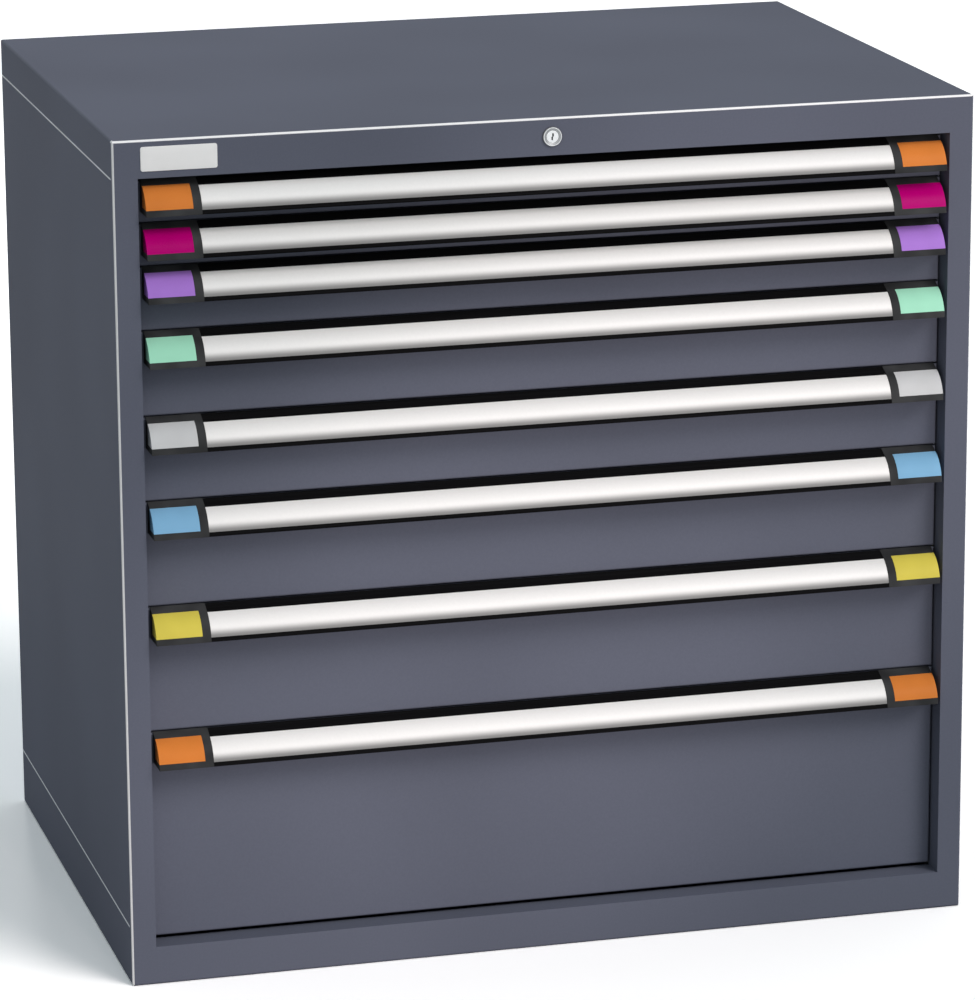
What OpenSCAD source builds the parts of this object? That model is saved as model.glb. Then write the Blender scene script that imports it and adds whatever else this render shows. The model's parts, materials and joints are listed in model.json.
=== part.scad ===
// Steel drawer cabinet with eight full-extension drawers and a central lock.
// Millimetres, +Z up. The front faces -Y and the origin is the middle of the housing's underside.

/* [Housing] */
// Overall width of the housing
housing_w = 1023; // [800:1:1400]
// Overall depth of the housing
housing_d = 725; // [600:1:900]
// Thickness of the housing sheet
sheet = 1.5; // [1:0.1:2]
// Outside radius of the folded edges
bend_r = 3; // [2.5:0.1:5]
// Width of the two front posts
post_w = 29; // [26:1:60]
// Height of the front rail above the drawers
top_rail_h = 44; // [42:1:80]
// Height of the front rail below the drawers
bottom_rail_h = 46; // [20:1:120]
// Depth of the opening's fold behind the drawer fronts' faces
return_lap = 7; // [4:0.5:10]
// Depth of the front frame's outer edge
frame_edge = 8; // [5:1:14]
// Height of the top cover's skirt
top_skirt_h = 44; // [30:1:80]
// Height of the base's skirt
base_skirt_h = 70; // [40:1:120]
// Open seam between a side panel and the skirts
seam_gap = 1.5; // [0.5:0.1:3]
// Lap of the side panels behind the skirts, and of the rear panel inside its frame
lap = 14; // [8:1:25]
// Width that the side panels turn round the rear corners
rear_fold = 25; // [15:1:60]
// Diameter of the floor fixing holes
fixing_hole_d = 13; // [9:0.5:18]
// Inset of the floor fixing holes from the housing's sides
fixing_inset = 70; // [45:1:120]

/* [Drawers] */
// Front height of drawer 1, at the top
front_1_h = 50; // [50:5:300]
// Front height of drawer 2
front_2_h = 50; // [50:5:300]
// Front height of drawer 3
front_3_h = 75; // [50:5:300]
// Front height of drawer 4
front_4_h = 100; // [50:5:300]
// Front height of drawer 5
front_5_h = 100; // [50:5:300]
// Front height of drawer 6
front_6_h = 125; // [50:5:300]
// Front height of drawer 7
front_7_h = 150; // [50:5:300]
// Front height of drawer 8, at the bottom
front_8_h = 250; // [50:5:300]
// Gap between two drawer fronts
front_gap = 2; // [1.5:0.5:5]
// Gap between a drawer front and the post beside it
side_gap = 2; // [1:0.5:4]
// Room above the top drawer
stack_top_gap = 6; // [2:0.5:12]
// Room below the bottom drawer
stack_bottom_gap = 4; // [2:0.5:12]
// Distance of the drawer fronts behind the frame's face
front_recess = 25; // [18:0.5:30]
// Thickness of the drawer front sheet
front_sheet = 1.5; // [1:0.1:2]
// Depth of the folds round a drawer front
front_fold = 12; // [10:1:16]
// Outside radius of a drawer front's folded edges
front_bend = 2.5; // [2.2:0.1:3.5]
// Thickness of the drawer sheet
drawer_sheet = 1; // [0.8:0.1:1.5]
// Distance from a drawer's lower limit to its floor
floor_gap = 2.5; // [2:0.5:5]
// Distance of the drawer walls below the drawer's upper limit
wall_drop = 8; // [6:0.5:12]
// Width of the folded rim on the drawer walls
rim_w = 6; // [3:0.5:8]
// Room behind the drawers
rear_space = 85.5; // [70:0.5:160]

/* [Handles] */
// Gap between a handle and the drawer front above it
handle_gap = 1; // [1:0.1:4]
// Height of the handle
handle_h = 36.5; // [32:0.5:42]
// Reach of the round face's circle from the drawer front
handle_reach = 36.5; // [33:0.5:40]
// Depth of the handle's top plate
plate_d = 12.5; // [9:0.5:16]
// Fall of the top plate from the drawer front to the round face
plate_fall = 5.4; // [4:0.1:8]
// Radius of the handle's round face
handle_r = 38; // [34:0.5:44]
// Height of the lip below the label
lip_h = 5; // [3:0.5:7]
// Wall of the handle profile
handle_wall = 3; // [2.5:0.1:3.5]
// Height of the handle's fixing flange
handle_flange_h = 14; // [8:0.5:18]
// Inset of the handle's ends from the drawer front's ends
handle_inset = 5; // [1:0.5:10]
// Width of the black rim between the top plate and the label
label_back = 2.5; // [1:0.5:6]
// Thickness of the label strip
label_t = 1.2; // [0.8:0.1:1.5]
// Length of an end cap
cap_l = 64; // [50:1:120]
// Amount that an end cap stands proud of the handle's face
cap_proud = 0.6; // [0.2:0.1:1.5]
// Wall of an end cap, below the handle's face
cap_wall = 4; // [3.5:0.1:5]
// Thickness of an end cap's closed end
cap_end = 5; // [4:0.1:8]
// Width of the end cap's inner border
cap_border = 10; // [5:0.5:15]
// Thickness of a colour tab
tab_t = 2; // [1.5:0.1:2.5]
// Height of a colour tab's lower edge above the label's
tab_low = 2.3; // [1:0.1:5]
// Clearance round labels and colour tabs
trim_clear = 0.15; // [0.1:0.05:0.3]

/* [Slides] */
// Room for the slide on each side of a drawer
slide_space = 22.5; // [20:0.5:30]
// Thickness of the rail sheet
rail_t = 1.5; // [1:0.1:2]
// Diameter of the rollers
roller_d = 22; // [18:0.5:24]
// Clearance above and below a roller
roller_clear = 0.3; // [0.2:0.05:0.5]
// Chamfer on a roller's edges
roller_chamfer = 0.8; // [0.4:0.1:1.2]
// Diameter of a roller's hub recess
hub_d = 10; // [6:0.5:14]
// Depth of a roller's hub recess
hub_depth = 1; // [0.5:0.1:2]
// Clearance at a roller's end
roller_end_gap = 0.75; // [0.4:0.05:1]
// Thickness of the carriage plate
carriage_t = 3; // [2:0.5:4]
// Height of the carriage plate
carriage_h = 30; // [26:0.5:32]
// Clearance beside the carriage plate
carriage_gap = 1; // [0.5:0.1:1.5]
// Height of the slide's middle above the drawer's lower limit
slide_rise = 19; // [18:0.5:20]
// Spacing of the rollers on one side of a carriage
roller_pitch = 125; // [60:1:140]
// Number of rollers on one side of a carriage
roller_count = 3; // [2:1:3]
// Length of a carriage that stays engaged in each rail
slide_overlap = 300; // [290:1:320]
// Distance of a roller from the carriage's end
roller_inset = 16; // [14:1:30]
// Width of a slotted upright
upright_w = 40; // [30:1:60]
// Spacing of the slots in the uprights
slot_pitch = 25; // [20:1:50]
// Height of a slot
slot_h = 5; // [3:0.5:8]
// Width of a slot
slot_w = 16; // [8:0.5:24]
// Distance of the rear uprights from the rear of the housing
upright_inset = 32; // [20:1:60]

/* [Lock] */
// Diameter of the lock's rosette
rosette_d = 23; // [22:0.5:28]
// Thickness of the rosette
rosette_t = 2.4; // [1.5:0.1:4]
// Chamfer on the rosette's edge
rosette_chamfer = 0.8; // [0.3:0.1:1.2]
// Diameter of the dish round the plug
dish_d = 20; // [18:0.5:21]
// Depth of the dish
dish_depth = 1; // [0.5:0.1:1.4]
// Diameter of the lock barrel
barrel_d = 18; // [16:0.5:19]
// Length of the barrel behind the frame's face
barrel_l = 28; // [24:0.5:30]
// Width of the barrel's nut across its corners
nut_w = 27; // [24:0.5:30]
// Thickness of the barrel's nut
nut_t = 5; // [3:0.5:8]
// Diameter of the lock plug
plug_d = 14; // [12:0.5:14.5]
// Running clearance round the plug
plug_clear = 0.05; // [0.03:0.01:0.1]
// Width of the keyway
keyway_w = 1.8; // [1.2:0.1:2.5]
// Height of the keyway
keyway_h = 8; // [6:0.5:9]
// Side step between the keyway's upper and lower half
keyway_step = 1; // [0.4:0.1:1.6]
// Side of the plug's square tail
tail_s = 6; // [5:0.5:7]
// Thickness of the lock cam
cam_t = 4; // [2:0.5:5]
// Smallest radius of the lock cam
cam_r = 6; // [5.5:0.1:7]
// Lift of the locking frame in a quarter turn
lock_lift = 6; // [5.5:0.1:6]
// Clearance between the cam and its follower
cam_clear = 0.4; // [0.3:0.05:0.5]
// Radius of the follower pin
follower_r = 1.2; // [1:0.1:1.5]
// Thickness of the locking frame
bar_t = 3; // [2:0.5:4]
// Width of the locking frame's legs
bar_w = 16; // [10:0.5:18]
// Height of the locking frame's crossbar
crossbar_h = 10; // [8:0.5:11]
// Room between the drawer fronts' folds and the locking frame
bar_space = 2; // [1.8:0.1:4]
// Running clearance beside the locking frame's legs
leg_gap = 0.5; // [0.3:0.1:1]
// Running clearance in front of the uprights
bar_clear = 0.3; // [0.2:0.05:0.5]
// Height of a locking finger
finger_h = 3.5; // [3:0.5:4]
// Clearance of a finger below its catch
finger_gap = 1.5; // [1:0.1:1.6]
// Height of a catch
catch_h = 8; // [7:0.5:8]
// Wall of a catch behind its notch
catch_wall = 1.5; // [1:0.1:3]
// Gap between the barrel and the cam
cam_gap = 0.5; // [0.3:0.1:1]
// Length of the plug's tail behind the cam
tail_over = 1; // [0.5:0.1:2]

/* [Hidden] */
$fn = 64;
// Overlap of joined shapes, and extra length of cutting shapes
eps = 0.01;
cut = 1;

slate = "#5a606c";
black = "#141516";
cap_black = "#36383a";
label_white = "#f3f3f1";
zinc = "#b4b8bb";
chrome = "#d6d8da";
tab_colours = ["#d07a38", "#ac006b", "#a476cc", "#99d5b8", "#c0c2c3", "#79a8c8", "#cfc052", "#d07a38"];

front_heights = [front_1_h, front_2_h, front_3_h, front_4_h, front_5_h, front_6_h, front_7_h, front_8_h];
drawer_count = len(front_heights);
function sum_first(list, n) = n == 0 ? 0 : list[n - 1] + sum_first(list, n - 1);
stack_h = sum_first(front_heights, drawer_count);
opening_h = stack_bottom_gap + stack_h + stack_top_gap;
housing_h = bottom_rail_h + opening_h + top_rail_h;
opening_half = housing_w / 2 - post_w;
face_y = -housing_d / 2;
rear_y = housing_d / 2;
wall_x = housing_w / 2 - sheet;

// Drawers are numbered from the top, starting at 1
function drawer_top(n) = housing_h - top_rail_h - stack_top_gap - sum_first(front_heights, n - 1);
function drawer_bottom(n) = drawer_top(n) - front_heights[n - 1];

frame_return = front_recess + return_lap;
front_y = face_y + front_recess;
inside_y = front_y + front_sheet;
front_half = opening_half - side_gap;
tray_x = opening_half - slide_space;
tray_half = tray_x - drawer_sheet;
tray_d = housing_d - front_recess - front_sheet - drawer_sheet - rear_space;
tray_rear_y = inside_y + tray_d + drawer_sheet;

handle_half = front_half - handle_inset;
bar_half = handle_half - cap_l;
// Places on the handle's section, forward of the front's face (u) and above the drawer's upper limit (v)
handle_top = front_gap / 2 - handle_gap;
hood_u = handle_reach - handle_r;
function face_rise(r, u) = sqrt(r * r - (u - hood_u) * (u - hood_u));
hood_v = handle_top - plate_fall - face_rise(handle_r, plate_d);
lip_v = handle_top - handle_h;
label_u = plate_d + label_back;
label_v = lip_v + lip_h;
tab_v = label_v + tab_low;
cap_r = handle_r + cap_proud;
tab_r = cap_r - tab_t;

rail_depth = (slide_space - carriage_t) / 2 - carriage_gap;
rail_inside_h = roller_d + 2 * roller_clear;
roller_l = carriage_gap + rail_depth - rail_t - roller_end_gap;
carriage_x = tray_x + rail_depth + carriage_gap;
carriage_l = tray_d / 2 + slide_overlap;

bar_y = inside_y + front_fold + bar_space;
upright_y = bar_y + bar_t + bar_clear;
rear_upright_y = rear_y - upright_inset - upright_w;
runner_rear_y = rear_y - upright_inset;
carriage_y = upright_y + finger_gap;
upright_x = wall_x - sheet;

lock_z = housing_h - top_rail_h / 2;
tail_l = cam_t + tail_over;
cam_y = face_y + barrel_l + cam_gap;
cam_tip = cam_r + lock_lift;
follower_z = lock_z + cam_r + cam_clear + follower_r;
bar_x = opening_half + sheet + leg_gap;
finger_rise = slide_rise + carriage_h / 2 + finger_gap;
catch_rise = finger_rise + finger_h + finger_gap;

function drawer_nodes(n) = [for (piece = ["tray", "handle", "label", "end_caps", "colour_tabs", "carriages"])
    str("drawer_", n, "_", piece)];

// A rectangle with round corners, about the origin
module round_rect(w, h, r) {
    square([w - 2 * r, h], center = true);
    square([w, h - 2 * r], center = true);
    for (x = [-1, 1], y = [-1, 1])
        translate([x * (w / 2 - r), y * (h / 2 - r)])
            circle(r = r);
}

// The housing's outer form with folded edges, drawn in by the inset
module folded_box(inset) {
    w = housing_w - 2 * inset;
    d = housing_d - 2 * inset;
    h = housing_h - 2 * inset;
    r = bend_r - inset;
    translate([0, 0, housing_h / 2])
        intersection() {
            linear_extrude(height = h, center = true)
                round_rect(w, d, r);
            rotate([90, 0, 0])
                linear_extrude(height = d, center = true)
                    round_rect(w, h, r);
            rotate([90, 0, 90])
                linear_extrude(height = w, center = true)
                    round_rect(d, h, r);
        }
}

// The sheet skin of the whole housing, from which the panels are cut
module housing_skin() {
    difference() {
        folded_box(0);
        folded_box(sheet);
    }
}

// A block between two corners
module block(low, high) {
    translate(low)
        cube(high - low);
}

// Extrudes a section drawn as (forward, up) along X, centred
module along_x(length) {
    rotate([90, 0, -90])
        linear_extrude(height = length, center = true)
            children();
}

// Extrudes a section drawn as (X, Z) along Y between two places
module along_y(from_y, to_y) {
    translate([0, to_y, 0])
        rotate([90, 0, 0])
            linear_extrude(height = to_y - from_y)
                children();
}

// A round bar along Y between two places
module bar_y_axis(r, from_y, to_y) {
    along_y(from_y, to_y)
        circle(r = r);
}

// The outline of the drawer opening, grown by a margin, drawn as (X, Z)
module opening_outline(margin) {
    translate([-opening_half - margin, bottom_rail_h - margin])
        square([2 * (opening_half + margin), opening_h + 2 * margin]);
}

module front_frame() {
    color(slate)
        difference() {
            union() {
                intersection() {
                    housing_skin();
                    block([-housing_w, face_y - cut, -cut], [housing_w, face_y + frame_edge, housing_h + cut]);
                }
                along_y(face_y + sheet / 2, face_y + frame_return)
                    opening_outline(sheet);
            }
            along_y(face_y - cut, face_y + frame_return + cut)
                opening_outline(0);
            translate([0, 0, lock_z])
                bar_y_axis(barrel_d / 2 + plug_clear, face_y - cut, face_y + sheet + cut);
        }
}

// The right side panel, with laps that go behind the skirts
module side_panel() {
    low_z = base_skirt_h + seam_gap;
    high_z = housing_h - top_skirt_h - seam_gap;
    front = face_y + frame_edge;
    intersection() {
        housing_skin();
        block([housing_w / 2 - rear_fold, front, low_z], [housing_w, rear_y + cut, high_z]);
    }
    for (z = [low_z, high_z])
        block([wall_x - sheet, face_y + frame_return, z - lap], [wall_x, rear_y - rear_fold, z + lap]);
}

module left_side_panel() {
    color(slate)
        mirror([1, 0, 0])
            side_panel();
}

module right_side_panel() {
    color(slate)
        side_panel();
}

module rear_panel() {
    half = housing_w / 2 - rear_fold + lap;
    color(slate)
        block(
            [-half, rear_y - 2 * sheet, base_skirt_h - lap],
            [half, rear_y - sheet, housing_h - top_skirt_h + lap]
        );
}

module top_cover() {
    color(slate)
        intersection() {
            housing_skin();
            block(
                [-housing_w, face_y + frame_edge, housing_h - top_skirt_h],
                [housing_w, rear_y + cut, housing_h + cut]
            );
        }
}

module base_tray() {
    color(slate)
        difference() {
            intersection() {
                housing_skin();
                block([-housing_w, face_y + frame_edge, -cut], [housing_w, rear_y + cut, base_skirt_h]);
            }
            for (x = [-1, 1], y = [-1, 1])
                translate([x * (housing_w / 2 - fixing_inset), y * (housing_d / 2 - fixing_inset), -cut])
                    cylinder(h = sheet + 2 * cut, d = fixing_hole_d);
        }
}

// One upright: a channel whose web faces the drawers and has a row of slots
module upright(y) {
    length = housing_h - 2 * sheet;
    slots = floor((length - 2 * slot_pitch) / slot_pitch);
    translate([opening_half, y, sheet]) {
        rotate([90, 0, 90])
            linear_extrude(height = sheet)
                difference() {
                    square([upright_w, length]);
                    for (i = [1 : slots])
                        translate([(upright_w - slot_w) / 2, i * slot_pitch])
                            square([slot_w, slot_h]);
                }
        for (side_y = [0, upright_w - sheet])
            translate([0, side_y, 0])
                cube([upright_x - opening_half, sheet, length]);
    }
}

module slotted_uprights() {
    color(zinc)
        for (side = [0, 1], y = [upright_y, rear_upright_y])
            mirror([side, 0, 0])
                upright(y);
}

// The section of a rail: web at x = 0, open towards +x
module rail_section() {
    outside_h = rail_inside_h + 2 * rail_t;
    translate([0, -outside_h / 2])
        difference() {
            square([rail_depth, outside_h]);
            translate([rail_t, rail_t])
                square([rail_depth, rail_inside_h]);
        }
}

module cabinet_runners() {
    color(zinc)
        for (n = [1 : drawer_count], side = [0, 1])
            mirror([side, 0, 0])
                translate([opening_half, 0, drawer_bottom(n) + slide_rise])
                    along_y(upright_y, runner_rear_y)
                        mirror([1, 0])
                            rail_section();
}

// Turns a profile drawn as (radius, forward) about the lock's axis, from the frame's face
module lock_turning() {
    translate([0, face_y, lock_z])
        rotate([90, 0, 0])
            rotate_extrude()
                children();
}

// The barrel with its dished rosette, held by a nut behind the frame's face
module lock_barrel() {
    bore_r = plug_d / 2 + plug_clear;
    dish_r = dish_d / 2;
    rosette_r = rosette_d / 2;
    color(chrome) {
        lock_turning()
            polygon([
                [bore_r, -barrel_l],
                [barrel_d / 2, -barrel_l],
                [barrel_d / 2, 0],
                [rosette_r, 0],
                [rosette_r, rosette_t - rosette_chamfer],
                [rosette_r - rosette_chamfer, rosette_t],
                [dish_r, rosette_t],
                [bore_r, rosette_t - dish_depth]
            ]);
        translate([0, 0, lock_z])
            along_y(face_y + sheet, face_y + sheet + nut_t)
                difference() {
                    circle(d = nut_w, $fn = 6);
                    circle(r = barrel_d / 2 - eps);
                }
    }
}

module lock_plug() {
    plug_front = face_y - rosette_t + dish_depth;
    color(chrome)
        translate([0, 0, lock_z]) {
            difference() {
                bar_y_axis(plug_d / 2, plug_front, cam_y);
                for (side = [-1, 1])
                    along_y(plug_front - cut, plug_front + barrel_l / 2)
                        translate([side * keyway_step / 2, side * (keyway_h / 4 - eps)])
                            square([keyway_w, keyway_h / 2], center = true);
            }
            along_y(cam_y - eps, cam_y + tail_l)
                square(tail_s, center = true);
        }
}

// A snail: its radius grows evenly by the lift in the quarter turn that starts at the top
module lock_cam() {
    step = 6;
    tip_width = 8;
    quarter = 90;
    full = 4 * quarter;
    rise = [for (a = [0 : step : quarter]) [quarter + a, cam_r + lock_lift * a / quarter]];
    rest = [for (a = [2 * quarter + 2 * tip_width : 2 * step : full + quarter - step]) [a, cam_r]];
    outline = concat(rise, [[2 * quarter + tip_width, cam_tip]], rest);
    color(zinc)
        translate([0, 0, lock_z])
            along_y(cam_y, cam_y + cam_t)
                difference() {
                    polygon([for (p = outline) p[1] * [cos(p[0]), sin(p[0])]]);
                    square(tail_s + 2 * plug_clear, center = true);
                }
}

// A crossbar on the cam's follower pin, with two legs whose fingers lift into the drawers' catches
module locking_frame() {
    top_z = follower_z + crossbar_h / 2;
    low_z = drawer_bottom(drawer_count);
    finger_l = bar_x - tray_x - slide_space / 2 - carriage_t;
    color(zinc) {
        along_y(bar_y, bar_y + bar_t) {
            translate([-bar_x - bar_w, top_z - crossbar_h])
                square([2 * (bar_x + bar_w), crossbar_h]);
            for (side = [0, 1])
                mirror([side, 0]) {
                    translate([bar_x, low_z])
                        square([bar_w, top_z - low_z]);
                    for (n = [1 : drawer_count])
                        translate([bar_x - finger_l, drawer_bottom(n) + finger_rise])
                            square([finger_l + cut, finger_h]);
                }
        }
        translate([0, 0, follower_z])
            bar_y_axis(follower_r, cam_y, bar_y + eps);
    }
}

// A rectangle drawn as (forward, across), whose two front corners are round
module front_round(depth, width, r) {
    translate([-depth, -width / 2])
        square([depth - r, width]);
    translate([-r - eps, -width / 2 + r])
        square([r + eps, width - 2 * r]);
    for (side = [-1, 1])
        translate([-r, side * (width / 2 - r)])
            circle(r = r);
}

// A block behind a front face, with round front edges, about the middle of that face
module folded_front(width, height, depth, r) {
    intersection() {
        along_x(width)
            front_round(depth, height, r);
        rotate([0, 0, -90])
            linear_extrude(height = height, center = true)
                front_round(depth, width, r);
    }
}

// The folded front with its catches, about the drawer's lower limit
module tray_front(h) {
    width = 2 * front_half;
    height = h - front_gap;
    depth = front_sheet + front_fold;
    difference() {
        translate([0, front_y, h / 2])
            folded_front(width, height, depth, front_bend);
        translate([0, inside_y, h / 2])
            folded_front(
                width - 2 * front_sheet, height - 2 * front_sheet, depth, front_bend - front_sheet
            );
    }
    fold_y = inside_y + front_fold;
    notch_rear = bar_y + bar_t + finger_gap;
    notch_top = finger_rise + lock_lift + finger_h + leg_gap;
    for (side = [0, 1])
        mirror([side, 0, 0])
            difference() {
                block(
                    [front_half - front_sheet, fold_y - cut, catch_rise],
                    [front_half, notch_rear + catch_wall, catch_rise + catch_h]
                );
                block(
                    [front_half - front_sheet - cut, bar_y - finger_gap, catch_rise - cut],
                    [front_half + cut, notch_rear, notch_top]
                );
            }
}

// The open box behind the front, with an outward rim on its walls
module tray_box(h) {
    top_z = h - wall_drop;
    difference() {
        union() {
            block([-tray_x, inside_y - eps, floor_gap], [tray_x, tray_rear_y, top_z]);
            block(
                [-tray_half - rim_w, inside_y - eps, top_z - drawer_sheet],
                [tray_half + rim_w, tray_rear_y + rim_w - drawer_sheet, top_z]
            );
        }
        block(
            [-tray_half, inside_y, floor_gap + drawer_sheet],
            [tray_half, tray_rear_y - drawer_sheet, h]
        );
    }
}

module drawer_tray(n) {
    h = front_heights[n - 1];
    color(slate)
        translate([0, 0, drawer_bottom(n)]) {
            tray_front(h);
            tray_box(h);
            for (side = [0, 1])
                mirror([side, 0, 0])
                    translate([tray_x, 0, slide_rise])
                        along_y(inside_y - eps, tray_rear_y)
                            rail_section();
        }
}

// The handle's round face as a disc, drawn as (u, v)
module face_disc(r) {
    translate([hood_u, hood_v])
        circle(r = r);
}

// The space under the handle's top plate and round face down to a height, grown by a margin
module hood(margin, low_v) {
    r = handle_r + margin;
    crease_v = hood_v + face_rise(r, plate_d);
    far_u = hood_u + r + cut;
    difference() {
        polygon([
            [0, handle_top + margin], [plate_d, crease_v], [far_u, crease_v], [far_u, low_v], [0, low_v]
        ]);
        difference() {
            translate([plate_d, low_v - cut])
                square([far_u - plate_d + cut, crease_v - low_v + 2 * cut]);
            face_disc(r);
        }
    }
}

// The part of the section in front of and above a place
module quadrant(u, v) {
    translate([u, v])
        square(handle_reach);
}

// A curved plate on the round face, between two radii, in front of and above a place
module face_plate(r_in, r_out, u, v) {
    intersection() {
        difference() {
            face_disc(r_out);
            face_disc(r_in);
        }
        quadrant(u, v);
    }
}

// Moves a handle section to the front of drawer n
module at_handle(n) {
    translate([0, front_y, drawer_top(n)])
        children();
}

module drawer_handle(n) {
    flange_v = handle_top - handle_wall - handle_flange_h;
    color(black)
        at_handle(n) {
            along_x(2 * bar_half)
                difference() {
                    hood(0, lip_v);
                    hood(-handle_wall, lip_v - cut);
                    face_plate(handle_r - label_t, handle_r + cut, label_u, label_v);
                }
            along_x(2 * bar_half)
                translate([0, flange_v])
                    square([handle_wall, handle_flange_h]);
        }
}

module drawer_label(n) {
    color(label_white)
        at_handle(n)
            along_x(2 * (bar_half - trim_clear))
                face_plate(
                    handle_r - label_t + trim_clear, handle_r, label_u + trim_clear, label_v + trim_clear
                );
}

// The space of a colour tab in the right end cap, grown by a clearance: a curved plate and an end plate
module tab_space(clear, r_out) {
    plate_l = cap_l - cap_border;
    translate([handle_half - (plate_l + clear) / 2, 0, 0])
        along_x(plate_l + clear)
            face_plate(tab_r - clear, r_out, plate_d - clear, tab_v - clear);
    translate([handle_half - (tab_t + clear) / 2, 0, 0])
        along_x(tab_t + clear)
            intersection() {
                face_disc(r_out);
                quadrant(plate_d - clear, tab_v - clear);
            }
}

// A hollow cap in the handle's form with a closed end, and a seat for its colour tab
module drawer_end_caps(n) {
    color(cap_black)
        at_handle(n)
            for (side = [0, 1])
                mirror([side, 0, 0])
                    difference() {
                        translate([handle_half - cap_l / 2, 0, 0])
                            along_x(cap_l)
                                hood(cap_proud, lip_v);
                        translate([handle_half - cap_end - cap_l / 2, 0, 0])
                            along_x(cap_l)
                                hood(-cap_wall, lip_v - cut);
                        translate([eps, 0, 0])
                            tab_space(trim_clear, cap_r + cut);
                    }
}

module drawer_colour_tabs(n) {
    color(tab_colours[n - 1])
        at_handle(n)
            for (side = [0, 1])
                mirror([side, 0, 0])
                    tab_space(0, cap_r);
}

// A roller along +X with chamfered edges and a hub recess in its far end
module roller() {
    r = roller_d / 2;
    rotate([0, 90, 0])
        rotate_extrude()
            polygon([
                [0, -eps],
                [r - roller_chamfer, -eps],
                [r, roller_chamfer],
                [r, roller_l - roller_chamfer],
                [r - roller_chamfer, roller_l],
                [hub_d / 2, roller_l],
                [hub_d / 2, roller_l - hub_depth],
                [0, roller_l - hub_depth]
            ]);
}

// One carriage, between the cabinet's rail and the drawer's rail: the outer rollers sit in its rear
// half and the inner ones in its front half, so both stay in their rails at full extension
module carriage() {
    rear_end_y = carriage_y + carriage_l;
    translate([carriage_x, carriage_y, -carriage_h / 2])
        cube([carriage_t, carriage_l, carriage_h]);
    for (i = [0 : roller_count - 1]) {
        step = roller_inset + i * roller_pitch;
        translate([carriage_x, carriage_y + step, 0])
            mirror([1, 0, 0])
                roller();
        translate([carriage_x + carriage_t, rear_end_y - step, 0])
            roller();
    }
}

module drawer_carriages(n) {
    color(zinc)
        translate([0, 0, drawer_bottom(n) + slide_rise])
            for (side = [0, 1])
                mirror([side, 0, 0])
                    carriage();
}

front_frame();
left_side_panel();
right_side_panel();
rear_panel();
top_cover();
base_tray();
slotted_uprights();
cabinet_runners();
lock_barrel();
lock_plug();
lock_cam();
locking_frame();
for (n = [1 : drawer_count]) {
    drawer_tray(n);
    drawer_handle(n);
    drawer_label(n);
    drawer_end_caps(n);
    drawer_colour_tabs(n);
    drawer_carriages(n);
}
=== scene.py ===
"""A steel drawer cabinet in slate powder coat, with label handles, coloured end tabs and a central lock."""
import json
import math

import bpy
import numpy as np
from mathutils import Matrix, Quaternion, Vector


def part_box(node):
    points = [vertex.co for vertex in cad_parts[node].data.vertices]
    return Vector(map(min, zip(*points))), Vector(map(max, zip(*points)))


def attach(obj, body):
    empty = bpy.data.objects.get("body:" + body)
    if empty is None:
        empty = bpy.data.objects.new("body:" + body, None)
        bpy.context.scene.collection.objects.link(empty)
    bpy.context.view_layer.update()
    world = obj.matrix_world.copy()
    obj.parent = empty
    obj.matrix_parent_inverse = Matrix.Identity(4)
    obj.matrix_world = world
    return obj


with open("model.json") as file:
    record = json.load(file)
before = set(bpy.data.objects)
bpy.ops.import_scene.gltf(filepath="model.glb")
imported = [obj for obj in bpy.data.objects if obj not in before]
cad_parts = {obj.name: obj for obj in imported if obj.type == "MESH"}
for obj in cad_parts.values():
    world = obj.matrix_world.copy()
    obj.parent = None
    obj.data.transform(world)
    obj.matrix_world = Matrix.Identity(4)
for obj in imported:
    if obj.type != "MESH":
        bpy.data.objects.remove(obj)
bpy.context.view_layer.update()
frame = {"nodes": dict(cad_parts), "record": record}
nodes = frame["nodes"]

MM = 0.001
DRAWERS = range(1, 9)
TAB_COLOURS = {
    "orange": "#dc823b",
    "magenta": "#b80072",
    "lilac": "#ad7dd8",
    "mint": "#a6e6c8",
    "silver_grey": "#cccecf",
    "blue": "#82b5d8",
    "yellow": "#d9ca56",
}
# The tabs' colours from the top drawer down
TAB_FINISHES = ["orange", "magenta", "lilac", "mint", "silver_grey", "blue", "yellow", "orange"]

# The blank plate on the top rail: the place of its middle across the cabinet, its size and its round edges
PLATE_X = -435 * MM
PLATE_W, PLATE_H, PLATE_THICK = 88 * MM, 28 * MM, 1 * MM
PLATE_CORNER, PLATE_EDGE = 2.6 * MM, 0.4 * MM

# The seams below the top cover and above the base tray, and the bead in them: how far it laps over the
# panels, stands proud of them and reaches into the seam, and where it ends at the front and the rear
SEAM_GAP = 1.5 * MM
BEAD_LAP, BEAD_PROUD, BEAD_DEPTH = 0.75 * MM, 0.5 * MM, 1 * MM
BEAD_FRONT, BEAD_REAR = 0.3 * MM, 4 * MM

FLOOR_HALF = 40

# The camera of the photograph: its place, its turn to the right, its tilt down, its roll and its lens
CAMERA_AT = Vector((-1.5419, -5.8129, 2.0339))
CAMERA_TURN = math.radians(15.02)
CAMERA_TILT = math.radians(14.689)
CAMERA_ROLL = math.radians(-0.374)
CAMERA_LENS = 181.11


def linear(hex_colour):
    """The linear RGBA of an sRGB hex colour."""
    s = np.array([int(hex_colour[i : i + 2], 16) for i in (1, 3, 5)]) / 255
    rgb = np.where(s <= 0.04045, s / 12.92, ((s + 0.055) / 1.055) ** 2.4)
    return (*rgb, 1.0)


def per_mm(size_mm):
    """The texture scale, in cells per metre, that draws cells of this size."""
    return 1000 / size_mm


def add(tree, kind, inputs=None, **settings):
    """Adds a node with its settings; each input is given a value, or a socket to link from."""
    node = tree.nodes.new(kind)
    for name, value in settings.items():
        setattr(node, name, value)
    for name, value in (inputs or {}).items():
        if isinstance(value, bpy.types.NodeSocket):
            tree.links.new(value, node.inputs[name])
        else:
            node.inputs[name].default_value = value
    return node


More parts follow.
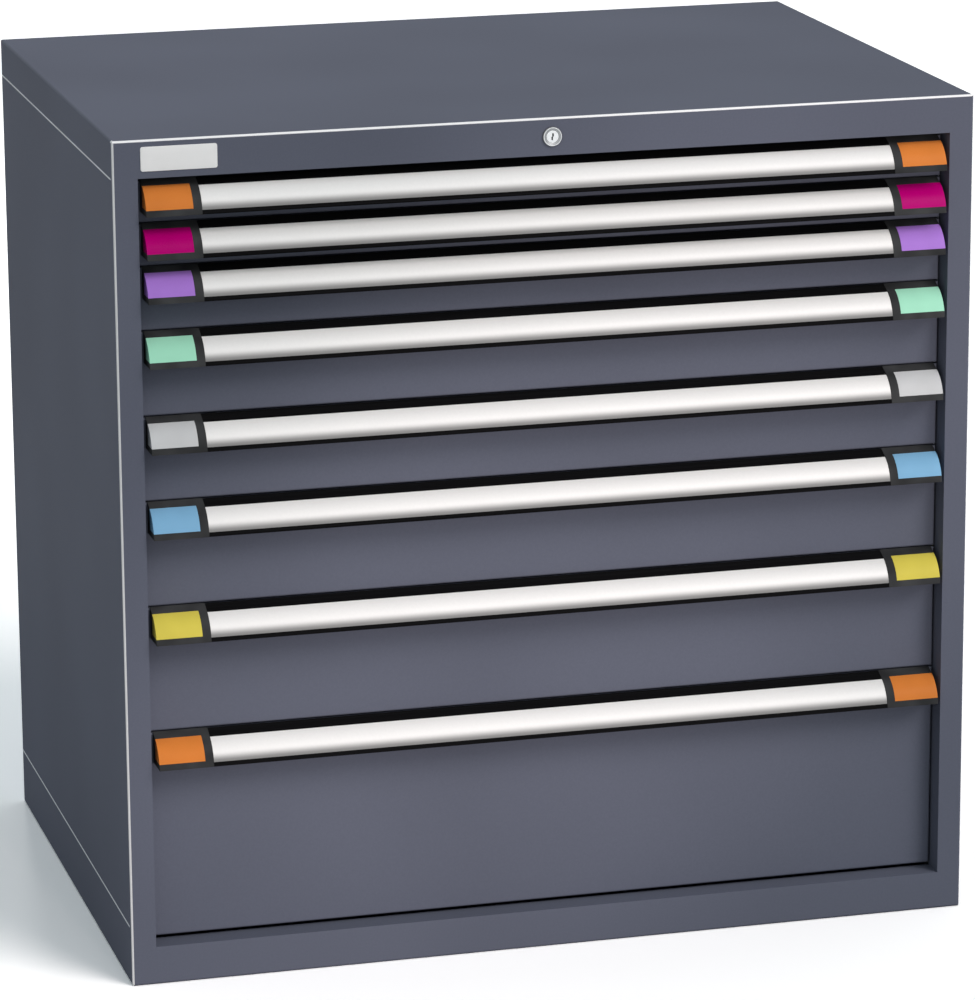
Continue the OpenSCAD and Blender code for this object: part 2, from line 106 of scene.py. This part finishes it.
def new_finish(name):
    """An empty material: its tree and its Object coordinates."""
    material = bpy.data.materials.new(name)
    material.use_nodes = True
    material.node_tree.nodes.clear()
    tree = material.node_tree
    return material, tree, add(tree, "ShaderNodeTexCoord")


def close_finish(tree, shader):
    """Links the shader to the material's output."""
    add(tree, "ShaderNodeOutputMaterial", {"Surface": shader.outputs[0]})


def powder_coat(name, colour, highlight_colour, highlight_strength):
    """Polyester powder coat, sprayed on folded steel sheet and baked: satin, with a fine orange-peel
    skin and a faint cloudiness, and a painted highlight along its upper and left folds, of the given
    strength."""
    material, tree, coords = new_finish(name)
    place = coords.outputs["Object"]
    # The real peel is under 1 mm wide, and it is drawn at 2.4 mm so that it shows
    peel = add(tree, "ShaderNodeTexNoise", {"Vector": place, "Scale": per_mm(2.4), "Detail": 2.0})
    cloud = add(tree, "ShaderNodeTexNoise", {"Vector": place, "Scale": per_mm(320), "Detail": 1.0})
    shade = add(
        tree,
        "ShaderNodeMapRange",
        {"Value": cloud.outputs["Fac"], "From Min": 0.3, "From Max": 0.7, "To Min": 0.94, "To Max": 1.06},
    )
    speck = add(
        tree,
        "ShaderNodeMapRange",
        {"Value": peel.outputs["Fac"], "From Min": 0.3, "From Max": 0.7, "To Min": 0.97, "To Max": 1.03},
    )
    tone = add(
        tree, "ShaderNodeMath", {0: shade.outputs[0], 1: speck.outputs[0]}, operation="MULTIPLY"
    )
    paint = add(
        tree,
        "ShaderNodeVectorMath",
        {0: linear(colour)[:3], "Scale": tone.outputs[0]},
        operation="SCALE",
    )
    # A fold is where the surface faces between two of the sheet's three directions
    facing = add(tree, "ShaderNodeVectorMath", {0: coords.outputs["Normal"]}, operation="ABSOLUTE")
    axes = add(tree, "ShaderNodeSeparateXYZ", {0: facing.outputs[0]})
    wide = add(tree, "ShaderNodeMath", {0: axes.outputs[0], 1: axes.outputs[1]}, operation="MAXIMUM")
    most = add(tree, "ShaderNodeMath", {0: wide.outputs[0], 1: axes.outputs[2]}, operation="MAXIMUM")
    fold = add(
        tree,
        "ShaderNodeMapRange",
        {"Value": most.outputs[0], "From Min": 0.985, "From Max": 0.93, "To Min": 0.0, "To Max": highlight_strength},
    )
    # Painted highlight: only the folds that face up or to the left, towards the lamps, are lightened
    # towards the highlight colour
    up_left = add(
        tree,
        "ShaderNodeVectorMath",
        {0: coords.outputs["Normal"], 1: (-1, 0, 1)},
        operation="DOT_PRODUCT",
    )
    side = add(
        tree,
        "ShaderNodeMapRange",
        {"Value": up_left.outputs["Value"], "From Min": 0.1, "From Max": 0.3},
    )
    painted_highlight = add(tree, "ShaderNodeMath", {0: fold.outputs[0], 1: side.outputs[0]}, operation="MULTIPLY")
    colour_mix = add(
        tree,
        "ShaderNodeMix",
        {"Factor": painted_highlight.outputs[0], "A": paint.outputs[0], "B": linear(highlight_colour)},
        data_type="RGBA",
    )
    bump = add(
        tree,
        "ShaderNodeBump",
        {"Height": peel.outputs["Fac"], "Strength": 0.12, "Distance": 0.2 * MM},
    )
    gloss = add(
        tree,
        "ShaderNodeMapRange",
        {"Value": peel.outputs["Fac"], "From Min": 0.3, "From Max": 0.7, "To Min": 0.56, "To Max": 0.64},
    )
    shader = add(
        tree,
        "ShaderNodeBsdfPrincipled",
        {
            "Base Color": colour_mix.outputs["Result"],
            "Roughness": gloss.outputs[0],
            "IOR": 1.5,
            "Specular IOR Level": 0.02,
            "Normal": bump.outputs[0],
        },
    )
    close_finish(tree, shader)
    return material


def extruded_finish(name, colour):
    """Black anodised aluminium, extruded: dull black with fine drawn lines along the bar."""
    material, tree, coords = new_finish(name)
    # Drawn lines 0.5 mm apart and half a metre long are drawn 1.5 mm apart so that they show
    along = add(tree, "ShaderNodeMapping", {"Vector": coords.outputs["Object"], "Scale": (2, 667, 667)})
    lines = add(tree, "ShaderNodeTexNoise", {"Vector": along.outputs[0], "Scale": 1.0, "Detail": 3.0})
    tone = add(
        tree,
        "ShaderNodeMapRange",
        {"Value": lines.outputs["Fac"], "From Min": 0.3, "From Max": 0.7, "To Min": 0.7, "To Max": 1.3},
    )
    dye = add(
        tree,
        "ShaderNodeVectorMath",
        {0: linear(colour)[:3], "Scale": tone.outputs[0]},
        operation="SCALE",
    )
    gloss = add(
        tree,
        "ShaderNodeMapRange",
        {"Value": lines.outputs["Fac"], "From Min": 0.3, "From Max": 0.7, "To Min": 0.42, "To Max": 0.55},
    )
    bump = add(
        tree, "ShaderNodeBump", {"Height": lines.outputs["Fac"], "Strength": 0.1, "Distance": 0.1 * MM}
    )
    shader = add(
        tree,
        "ShaderNodeBsdfPrincipled",
        {
            "Base Color": dye.outputs[0],
            "Roughness": gloss.outputs[0],
            "Specular IOR Level": 0.01,
            "Normal": bump.outputs[0],
        },
    )
    close_finish(tree, shader)
    return material


def label_card(name, colour, low_z):
    """White card under a clear film: bright and even, with a faint fibre and a soft sheen, and darkened
    towards its lower edge by painted shade, where the label curves down away from the light."""
    material, tree, coords = new_finish(name)
    fibre = add(
        tree,
        "ShaderNodeTexNoise",
        {"Vector": coords.outputs["Object"], "Scale": per_mm(3), "Detail": 4.0},
    )
    tone = add(
        tree,
        "ShaderNodeMapRange",
        {"Value": fibre.outputs["Fac"], "From Min": 0.3, "From Max": 0.7, "To Min": 0.975, "To Max": 1.0},
    )
    # Painted shade: the card is darkened over its lowest 12 mm, from full white down to a fifth
    axes = add(tree, "ShaderNodeSeparateXYZ", {0: coords.outputs["Object"]})
    grey = add(
        tree,
        "ShaderNodeMapRange",
        {
            "Value": axes.outputs[2],
            "From Min": low_z,
            "From Max": low_z + 12 * MM,
            "To Min": 0.2,
            "To Max": 1.0,
        },
        interpolation_type="SMOOTHERSTEP",
    )
    shade = add(tree, "ShaderNodeMath", {0: tone.outputs[0], 1: grey.outputs[0]}, operation="MULTIPLY")
    card = add(
        tree,
        "ShaderNodeVectorMath",
        {0: linear(colour)[:3], "Scale": shade.outputs[0]},
        operation="SCALE",
    )
    shader = add(
        tree,
        "ShaderNodeBsdfPrincipled",
        {
            "Base Color": card.outputs[0],
            "Roughness": 0.5,
            "Coat Weight": 0.4,
            "Coat Roughness": 0.25,
        },
    )
    close_finish(tree, shader)
    return material


def moulded_plastic(name, colour, rough, grain_mm, depth, flow_and_sheen_share):
    """ABS, injection moulded: an even colour with a soft flow of tone laid at random, which where it is
    strong stands in for a soft painted sheen, and the grain of its mould.
    """
    material, tree, coords = new_finish(name)
    place = coords.outputs["Object"]
    grain = add(tree, "ShaderNodeTexNoise", {"Vector": place, "Scale": per_mm(grain_mm), "Detail": 2.0})
    flow = add(tree, "ShaderNodeTexNoise", {"Vector": place, "Scale": per_mm(30), "Detail": 1.0})
    tone = add(
        tree,
        "ShaderNodeMapRange",
        {
            "Value": flow.outputs["Fac"],
            "From Min": 0.3,
            "From Max": 0.7,
            "To Min": 1 - flow_and_sheen_share,
            "To Max": 1 + flow_and_sheen_share,
        },
    )
    dye = add(
        tree,
        "ShaderNodeVectorMath",
        {0: linear(colour)[:3], "Scale": tone.outputs[0]},
        operation="SCALE",
    )
    gloss = add(
        tree,
        "ShaderNodeMapRange",
        {
            "Value": grain.outputs["Fac"],
            "From Min": 0.3,
            "From Max": 0.7,
            "To Min": rough * 0.9,
            "To Max": rough * 1.1,
        },
    )
    bump = add(
        tree, "ShaderNodeBump", {"Height": grain.outputs["Fac"], "Strength": depth, "Distance": 0.1 * MM}
    )
    shader = add(
        tree,
        "ShaderNodeBsdfPrincipled",
        {
            "Base Color": dye.outputs[0],
            "Roughness": gloss.outputs[0],
            "IOR": 1.53,
            "Specular IOR Level": 0.03,
            "Normal": bump.outputs[0],
        },
    )
    close_finish(tree, shader)
    return material


def plated_steel(name, colour, rough, cell_mm):
    """Plated sheet steel: a bright metal, dulled in patches by the crystals of its plating."""
    material, tree, coords = new_finish(name)
    place = coords.outputs["Object"]
    cells = add(tree, "ShaderNodeTexVoronoi", {"Vector": place, "Scale": per_mm(cell_mm)})
    cell = add(tree, "ShaderNodeSeparateXYZ", {0: cells.outputs["Color"]})
    tone = add(
        tree,
        "ShaderNodeMapRange",
        {"Value": cell.outputs[0], "To Min": 0.88, "To Max": 1.08},
    )
    metal = add(
        tree,
        "ShaderNodeVectorMath",
        {0: linear(colour)[:3], "Scale": tone.outputs[0]},
        operation="SCALE",
    )
    gloss = add(
        tree,
        "ShaderNodeMapRange",
        {"Value": cell.outputs[1], "To Min": rough * 0.8, "To Max": rough * 1.2},
    )
    shader = add(
        tree,
        "ShaderNodeBsdfPrincipled",
        {"Base Color": metal.outputs[0], "Metallic": 1.0, "Roughness": gloss.outputs[0]},
    )
    close_finish(tree, shader)
    return material


def chromed_brass(name, polished, dull, black):
    """Chromed brass, turned: polished on its flat front, duller in its dish, and near-black on the walls
    that run into the lock, which is painted shade, with a fine grain left by the polishing."""
    material, tree, coords = new_finish(name)
    axes = add(tree, "ShaderNodeSeparateXYZ", {0: coords.outputs["Normal"]})
    front = add(tree, "ShaderNodeMath", {0: axes.outputs[1]}, operation="ABSOLUTE")
    # A dish falls 18 degrees from the front, so its normal's share to the front is 0.95
    flat = add(tree, "ShaderNodeMapRange", {"Value": front.outputs[0], "From Min": 0.965, "From Max": 0.99})
    # Painted shade: walls that turn away from the front, into the lock, are coloured near-black
    wall = add(tree, "ShaderNodeMapRange", {"Value": front.outputs[0], "From Min": 0.85, "From Max": 0.4})
    metal = add(
        tree,
        "ShaderNodeMix",
        {"Factor": flat.outputs[0], "A": linear(dull), "B": linear(polished)},
        data_type="RGBA",
    )
    colour = add(
        tree,
        "ShaderNodeMix",
        {"Factor": wall.outputs[0], "A": metal.outputs["Result"], "B": linear(black)},
        data_type="RGBA",
    )
    gloss = add(tree, "ShaderNodeMapRange", {"Value": flat.outputs[0], "To Min": 0.4, "To Max": 0.22})
    # The polishing grain is under 0.1 mm wide, and it is drawn at 0.8 mm so that it shows
    grain = add(
        tree,
        "ShaderNodeTexNoise",
        {"Vector": coords.outputs["Object"], "Scale": per_mm(0.8), "Detail": 2.0},
    )
    bump = add(
        tree, "ShaderNodeBump", {"Height": grain.outputs["Fac"], "Strength": 0.05, "Distance": 0.05 * MM}
    )
    shader = add(
        tree,
        "ShaderNodeBsdfPrincipled",
        {
            "Base Color": colour.outputs["Result"],
            "Metallic": 1.0,
            "Roughness": gloss.outputs[0],
            "Normal": bump.outputs[0],
        },
    )
    close_finish(tree, shader)
    return material


def dress(node, finish):
    """Gives a CAD node its finish."""
    mesh = nodes[node].data
    mesh.materials.clear()
    mesh.materials.append(finish)


def grid_faces(rows, columns, round_columns):
    """The four corners of each cell of a grid of points; the last column may join the first."""
    index = np.arange(rows * columns).reshape(rows, columns)
    if round_columns:
        index = np.concatenate([index, index[:, :1]], axis=1)
    cells = [index[:-1, :-1], index[:-1, 1:], index[1:, 1:], index[1:, :-1]]
    return np.stack(cells, axis=-1).reshape(-1, 4)


def new_piece(name, points, faces, finish, body):
    """A mesh piece in the cabinet's frame, riding on a body and given the name that is passed in."""
    mesh = bpy.data.meshes.new(name)
    mesh.from_pydata(points.tolist(), [], faces.tolist())
    mesh.polygons.foreach_set("use_smooth", np.ones(len(mesh.polygons), dtype=bool))
    mesh.update()
    mesh.materials.append(finish)
    piece = bpy.data.objects.new(name, mesh)
    bpy.context.scene.collection.objects.link(piece)
    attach(piece, body)
    return piece


def round_outline(width, height, corner, steps):
    """The outline of a rectangle with round corners: each corner's quarter circle, set out from the
    corner's middle, with the straight sides between them."""
    turn = np.arange(4)[:, None] * np.pi / 2 + np.linspace(0, np.pi / 2, steps)[None, :]
    middle = np.array([[1, 1], [-1, 1], [-1, -1], [1, -1]]) * [width / 2 - corner, height / 2 - corner]
    arc = corner * np.stack([np.cos(turn), np.sin(turn)], axis=-1)
    return (middle[:, None, :] + arc).reshape(-1, 2)


def blank_plate(name, middle, width, height, corner, thick, edge, finish):
    """A plate on the front frame: outlines drawn in by an amount e, standing at a height h above the
    frame, where (e, h) runs up the side, round a quarter circle of the edge's radius and in to the
    plate's middle."""
    bend = np.linspace(0, np.pi / 2, 6)
    inset = np.concatenate([[0], edge * (1 - np.cos(bend)), [0.3 * height, 0.4999 * height]])
    rise = np.concatenate([[0], thick - edge + edge * np.sin(bend), [thick, thick]])
    rings = [
        round_outline(width - 2 * e, height - 2 * e, max(corner - e, 1e-6), 8) for e in inset
    ]
    flat = np.stack(rings)
    points = np.empty((*flat.shape[:2], 3))
    points[..., 0] = middle[0] + flat[..., 0]
    points[..., 1] = middle[1] - rise[:, None]
    points[..., 2] = middle[2] + flat[..., 1]
    faces = grid_faces(*flat.shape[:2], True)
    return new_piece(name, points.reshape(-1, 3), faces, finish, "housing")


def seam_bead(name, side, z_low, z_high, y_front, y_rear, x_in, x_out, finish):
    """A near-white bead in a seam of the side, which draws the seam's bright line as a painted highlight:
    half an ellipse across the seam, carried along Y, and drawn in to a point at both ends by the square
    root of the distance from the end."""
    turn = np.linspace(-np.pi / 2, np.pi / 2, 9)
    length = y_rear - y_front
    # Rings close together near the ends keep the shading of the narrowing there from reaching further
    end = np.concatenate([np.linspace(0, 3, 6), [3.3, 4]]) * MM
    along = np.concatenate([end, np.linspace(0.1, 0.9, 9) * length, length - end[::-1]])
    from_end = np.minimum(along, length - along)
    full = np.sqrt(np.clip(from_end / (3 * MM), 0, 1))
    points = np.empty((len(along), len(turn), 3))
    points[..., 0] = side * (x_in + (x_out - x_in) * full[:, None] * np.cos(turn)[None, :])
    points[..., 1] = (y_front + along)[:, None]
    points[..., 2] = (z_low + z_high) / 2 + (z_high - z_low) / 2 * np.sin(turn)[None, :]
    faces = grid_faces(len(along), len(turn), False)
    if side < 0:
        faces = faces[:, ::-1]
    return new_piece(name, points.reshape(-1, 3), faces, finish, "housing")


def slotted_sheet(length, height, pitch, slot_w, slot_h, row_gap):
    """A sheet with rows of upright slots: a grid whose lines are the slots' edges, from which each cell
    that is a slot in both directions is left out. Gives points (along, up) and faces."""
    count = int((length - 2 * pitch) // pitch)
    start = (length - (count - 1) * pitch) / 2
    middles = start + pitch * np.arange(count)
    rows = max(int((height - row_gap) // (slot_h + row_gap)), 1)
    low = (height - rows * slot_h - (rows - 1) * row_gap) / 2
    bottoms = low + (slot_h + row_gap) * np.arange(rows)
    slot_sides = np.stack([middles - slot_w / 2, middles + slot_w / 2], 1).ravel()
    slot_ends = np.stack([bottoms, bottoms + slot_h], 1).ravel()
    along = np.concatenate([[0], slot_sides, [length]])
    up = np.concatenate([[0], slot_ends, [height]])
    points = np.stack(np.meshgrid(along, up, indexing="ij"), axis=-1).reshape(-1, 2)
    faces = grid_faces(len(along), len(up), False)
    in_slot_along = np.arange(len(along) - 1) % 2 == 1
    in_slot_up = np.arange(len(up) - 1) % 2 == 1
    open_cell = in_slot_along[:, None] & in_slot_up[None, :]
    return points, faces[~open_cell.ravel()]


def drawer_walls(n, low, high, finish):
    """Slotted sheets on the two sides and the rear of a drawer's inside: three flat sheets, set a wall's
    margin outside the box that the drawer holds, and thickened towards the wall behind them."""
    margin, thick = 0.2 * MM, 0.7 * MM
    length, width, height = high[1] - low[1], high[0] - low[0], high[2] - low[2]
    pitch, slot_w, slot_h, row_gap = 17 * MM, 3 * MM, 12 * MM, 13 * MM
    side_points, side_faces = slotted_sheet(length, height, pitch, slot_w, slot_h, row_gap)
    rear_points, rear_faces = slotted_sheet(width, height, pitch, slot_w, slot_h, row_gap)
    along, up = low[1] + side_points[:, 0], low[2] + side_points[:, 1]
    right = np.stack([np.full_like(along, high[0] + margin), along, up], axis=1)
    left = right * [-1, 1, 1]
    across, rear_up = low[0] + rear_points[:, 0], low[2] + rear_points[:, 1]
    rear = np.stack([across, np.full_like(across, high[1] + margin), rear_up], axis=1)
    points = np.concatenate([right, left, rear])
    count = len(right)
    faces = np.concatenate([side_faces[:, ::-1], side_faces + count, rear_faces + 2 * count])
    body = f"drawer_{n}"
    piece = new_piece(f"{body}_slotted_walls", points, faces, finish, body)
    sheet = piece.modifiers.new("sheet", "SOLIDIFY")
    sheet.thickness = thick
    sheet.offset = -1


def shown_share(tree):
    """1 for a ray that shows a surface to the camera, straight, mirrored or let through, and 0 for a ray
    that carries its light to the cabinet."""
    path = add(tree, "ShaderNodeLightPath")
    seen = add(
        tree,
        "ShaderNodeMath",
        {0: path.outputs["Is Camera Ray"], 1: path.outputs["Is Glossy Ray"]},
        operation="MAXIMUM",
    )
    shown = add(
        tree,
        "ShaderNodeMath",
        {0: seen.outputs[0], 1: path.outputs["Is Transmission Ray"]},
        operation="MAXIMUM",
    )
    return shown.outputs[0]


def stage_floor(half):
    """A flat square floor at height 0, white where it is seen or mirrored, and pale grey for the light
    that it throws back. It keeps the cabinet's shadow."""
    corners = np.array([[-1, -1, 0], [1, -1, 0], [1, 1, 0], [-1, 1, 0]]) * [half, half, 1]
    mesh = bpy.data.meshes.new("studio_floor")
    mesh.from_pydata(corners.tolist(), [], [[0, 1, 2, 3]])
    floor = bpy.data.objects.new("studio_floor", mesh)
    bpy.context.scene.collection.objects.link(floor)
    material, tree, _ = new_finish("studio_paper")
    shown = shown_share(tree)
    tone = add(
        tree,
        "ShaderNodeMix",
        {"Factor": shown, "A": linear("#a0a0a0"), "B": (1.7, 1.68, 1.66, 1)},
        data_type="RGBA",
    )
    paper = add(tree, "ShaderNodeBsdfDiffuse", {"Color": tone.outputs["Result"]})
    close_finish(tree, paper)
    mesh.materials.append(material)


def studio_sky(strength, tint):
    """White behind the cabinet and in mirrors, and an even soft light, a little tinted, from all round."""
    world = bpy.data.worlds.new("studio_sky")
    bpy.context.scene.world = world
    world.use_nodes = True
    tree = world.node_tree
    tree.nodes.clear()
    shown = shown_share(tree)
    level = add(
        tree,
        "ShaderNodeMapRange",
        {"Value": shown, "To Min": strength, "To Max": 1.0},
    )
    tone = add(
        tree,
        "ShaderNodeMix",
        {"Factor": shown, "A": linear(tint), "B": (1, 1, 1, 1)},
        data_type="RGBA",
    )
    sky = add(
        tree, "ShaderNodeBackground", {"Color": tone.outputs["Result"], "Strength": level.outputs[0]}
    )
    add(tree, "ShaderNodeOutputWorld", {"Surface": sky.outputs[0]})


def lamp(name, kind, energy, colour, towards, place=(0, 0, 0), stretch=(1, 1, 1), turn=0.0, **settings):
    """A lamp with its own settings, whose light comes from the direction towards it; its beam may be
    stretched and turned. A spot lights the paint and isn't mirrored in the metal."""
    data = bpy.data.lights.new(name, kind)
    data.energy = energy
    data.color = linear(colour)[:3]
    for setting, value in settings.items():
        setattr(data, setting, value)
    light = bpy.data.objects.new(name, data)
    bpy.context.scene.collection.objects.link(light)
    light.location = place
    aim = Vector(towards).to_track_quat("Z", "Y")
    light.rotation_euler = (aim @ Quaternion((0, 0, 1), turn)).to_euler()
    light.scale = stretch
    light.visible_glossy = kind != "SPOT"


# Both coats carry a painted highlight along their upper and left folds: faint grey on the panels and
# drawers, white on the front frame
slate = powder_coat("slate_powder_coat", "#646876", "#8a8e97", 0.25)
slate_frame = powder_coat("slate_powder_coat_rubbed_folds", "#646876", "#ffffff", 1.0)
black_bar = extruded_finish("black_anodised_aluminium", "#131314")
# The caps' flow, 30 per cent either way, is painted sheen laid at random
cap_plastic = moulded_plastic("grained_black_abs", "#3a3b3c", 0.5, 1.2, 0.15, 0.3)
zinc = plated_steel("zinc_plated_steel", "#b4b8bb", 0.34, 4)
chrome = chromed_brass("chromed_brass", "#d8d9db", "#8e9092", "#141414")
enamel = moulded_plastic("white_enamelled_plate", "#fbfbfa", 0.3, 4, 0.03, 0.01)
# The seam bead is near-white to draw the bright line along each seam: a painted highlight
seam_highlight_pale = moulded_plastic("grey_sealing_bead", "#f2f3f5", 0.55, 1.5, 0.1, 0.05)
tabs = {
    name: moulded_plastic(f"{name}_abs", colour, 0.28, 2, 0.04, 0.03)
    for name, colour in TAB_COLOURS.items()
}

dress("front_frame", slate_frame)
for panel in ("left_side_panel", "right_side_panel", "rear_panel", "top_cover", "base_tray"):
    dress(panel, slate)
for inner in ("slotted_uprights", "cabinet_runners", "lock_cam", "locking_frame"):
    dress(inner, zinc)
for lock_piece in ("lock_barrel", "lock_plug"):
    dress(lock_piece, chrome)
for n in DRAWERS:
    dress(f"drawer_{n}_tray", slate)
    dress(f"drawer_{n}_handle", black_bar)
    label_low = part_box(f"drawer_{n}_label")[0][2]
    dress(f"drawer_{n}_label", label_card(f"white_label_card_{n}", "#f0f0ee", label_low))
    dress(f"drawer_{n}_end_caps", cap_plastic)
    dress(f"drawer_{n}_colour_tabs", tabs[TAB_FINISHES[n - 1]])
    dress(f"drawer_{n}_carriages", zinc)

face_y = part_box("front_frame")[0][1]
rail_middle = (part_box("lock_plug")[0][2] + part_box("lock_plug")[1][2]) / 2
blank_plate(
    "blank_plate",
    (PLATE_X, face_y, rail_middle),
    PLATE_W,
    PLATE_H,
    PLATE_CORNER,
    PLATE_THICK,
    PLATE_EDGE,
    enamel,
)
side_low, side_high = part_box("right_side_panel")
upper_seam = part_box("top_cover")[0][2]
lower_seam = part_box("base_tray")[1][2]
for side, name in ((-1, "left"), (1, "right")):
    for place, z in (("upper", upper_seam - SEAM_GAP), ("lower", lower_seam)):
        seam_bead(
            f"{name}_{place}_seam_bead",
            side,
            z - BEAD_LAP,
            z + SEAM_GAP + BEAD_LAP,
            side_low[1] + BEAD_FRONT,
            side_high[1] - BEAD_REAR,
            side_high[0] - BEAD_DEPTH,
            side_high[0] + BEAD_PROUD,
            seam_highlight_pale,
        )

openings = {opening["name"]: opening["box_m"] for opening in frame["record"]["physics"]["openings"]}
for n in DRAWERS:
    drawer_walls(n, *openings[f"drawer_{n}_inside"], slate)

stage_floor(FLOOR_HALF)
studio_sky(0.45, "#eaf5fa")
lamp("key_lamp", "SUN", 1.42, "#fff8f6", (0.46, -0.61, 0.645), angle=math.radians(30))
lamp("fill_lamp", "SUN", 0.6, "#ffffff", (0.2, -1.0, 0.0), angle=math.radians(60))
lamp(
    "back_lamp",
    "SPOT",
    1000,
    "#ffffff",
    (0.06, 1.0, 0.0),
    place=(0.4, 6.5, 0.5),
    spot_size=math.radians(32),
    spot_blend=1.0,
    shadow_soft_size=0.3,
)
lamp(
    "band_lamp",
    "SPOT",
    500,
    "#ffefed",
    (0.0, -1.0, 0.0),
    place=(0.06, -6.5, 0.5),
    stretch=(1, 0.5, 1),
    turn=math.radians(45),
    spot_size=math.radians(20),
    spot_blend=1.0,
    shadow_soft_size=0.12,
)

camera_data = bpy.data.cameras.new("photo_camera")
camera_data.lens = CAMERA_LENS
camera_data.sensor_width = 36
camera_data.clip_end = 200
camera = bpy.data.objects.new("photo_camera", camera_data)
bpy.context.scene.collection.objects.link(camera)
camera.location = CAMERA_AT
look = Vector(
    (
        math.sin(CAMERA_TURN) * math.cos(CAMERA_TILT),
        math.cos(CAMERA_TURN) * math.cos(CAMERA_TILT),
        -math.sin(CAMERA_TILT),
    )
)
level = look.to_track_quat("-Z", "Y")
camera.rotation_euler = (level @ Quaternion((0, 0, 1), CAMERA_ROLL)).to_euler()
bpy.context.scene.camera = camera
bpy.context.scene.view_settings.view_transform = "Standard"
